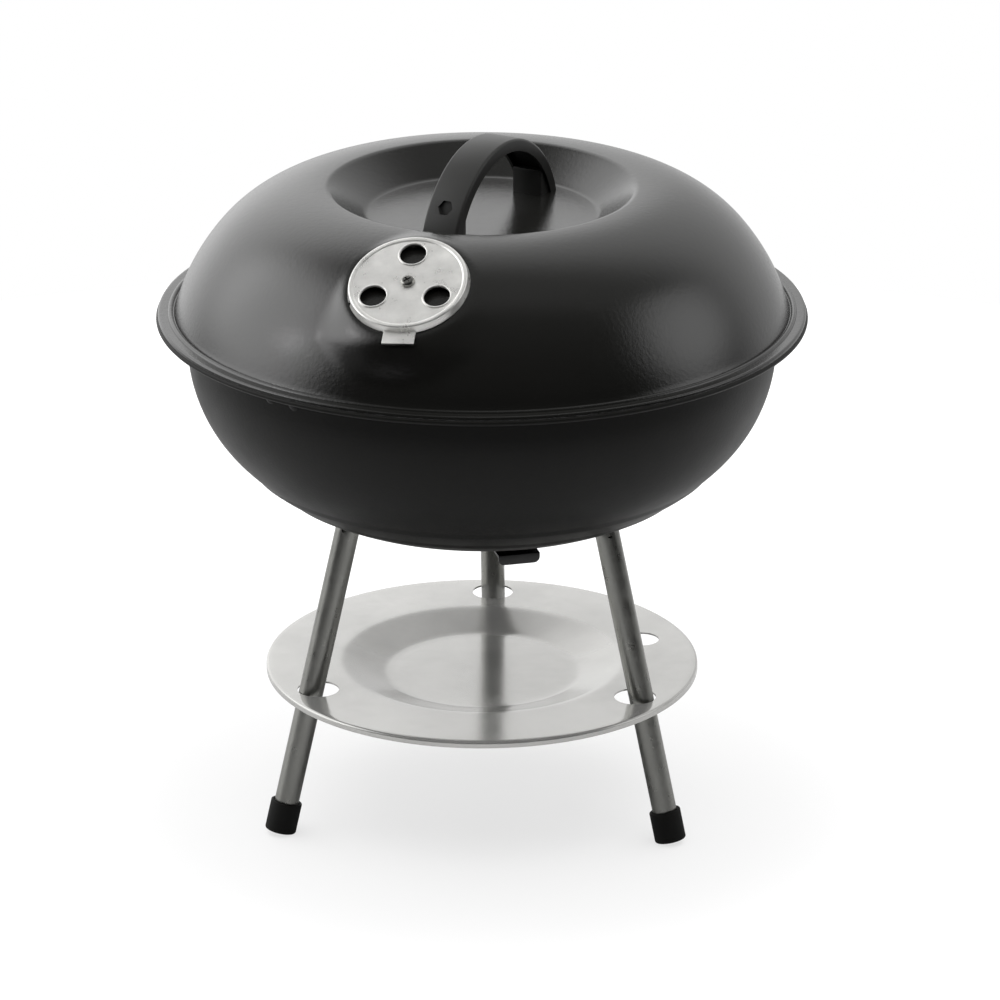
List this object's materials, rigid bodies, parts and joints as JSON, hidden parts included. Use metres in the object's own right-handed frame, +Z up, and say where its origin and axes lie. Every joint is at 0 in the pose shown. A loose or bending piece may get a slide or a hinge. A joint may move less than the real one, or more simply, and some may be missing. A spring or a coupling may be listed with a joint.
{
  "type": "portable tabletop kettle grill",
  "caption": "Round tabletop charcoal kettle grill with a dished domed lid, arch handle, vent dampers, grates, splayed tube legs and an ash plate.",
  "frame": {"origin": "on the ground, under the middle of the bowl", "axes": "+Z up, -Y is the front, the rear leg is at +Y"},
  "size_m": [0.37, 0.3698, 0.4002],
  "materials": {
    "lid_enamel": "gloss black enamel",
    "bowl_enamel": "satin black enamel",
    "pressed_steel": "bright satin steel",
    "leg_zinc": "zinc-plated tube",
    "plate_steel": "polished sheet steel",
    "wire_chrome": "plated wire",
    "fastener_steel": "zinc-plated",
    "handle_plastic": "satin black phenolic",
    "damper_enamel": "satin black enamel",
    "foot_rubber": "matte"
  },
  "bodies": {
    "stand": {"bowl": "bowl_enamel", "bracket_front_left": "fastener_steel", "bracket_right": "fastener_steel", "bracket_rear": "fastener_steel", "bracket_rivets": "fastener_steel", "bowl_damper_rivet": "fastener_steel", "leg_front_left": "leg_zinc", "leg_front_right": "leg_zinc", "leg_rear": "leg_zinc", "leg_plugs": "fastener_steel", "leg_bolts": "fastener_steel", "leg_washers": "fastener_steel", "foot_front_left": "foot_rubber", "foot_front_right": "foot_rubber", "foot_rear": "foot_rubber"},
    "bottom_vent": {"bowl_damper": "damper_enamel"},
    "coal_grate": {"charcoal_grate": "wire_chrome"},
    "food_grate": {"cooking_grate": "wire_chrome"},
    "cover": {"lid": "lid_enamel", "lid_handle": "handle_plastic", "handle_screws": "fastener_steel", "handle_washers": "fastener_steel", "lid_damper_screw": "fastener_steel", "lid_damper_spring_washer": "fastener_steel", "lid_damper_nut": "fastener_steel"},
    "top_vent": {"lid_damper": "pressed_steel"},
    "plate": {"ash_plate": "plate_steel"}
  },
  "joints": [
    {"name": "coal_grate_lift", "type": "slide", "parent": "stand", "child": "coal_grate", "axis": [0, 0, 1], "range_m": [0, 0.12]},
    {"name": "food_grate_lift", "type": "slide", "parent": "coal_grate", "child": "food_grate", "axis": [0, 0, 1], "range_m": [0, 0.12]},
    {"name": "cover_lift", "type": "slide", "parent": "food_grate", "child": "cover", "axis": [0, 0, 1], "range_m": [0, 0.25]},
    {"name": "top_vent_turn", "type": "hinge", "parent": "cover", "child": "top_vent", "pos_m": [-0.03191, -0.13091, 0.35545], "axis": [-0.1184, -0.4858, 0.866], "continuous": true},
    {"name": "bottom_vent_turn", "type": "hinge", "parent": "stand", "child": "bottom_vent", "pos_m": [0, 0, 0.18], "axis": [0, 0, 1], "range_deg": [-60, 28]},
    {"name": "plate_lift", "type": "slide", "parent": "stand", "child": "plate", "axis": [0, 0, 1], "range_m": [0, 0.03]}
  ]
}
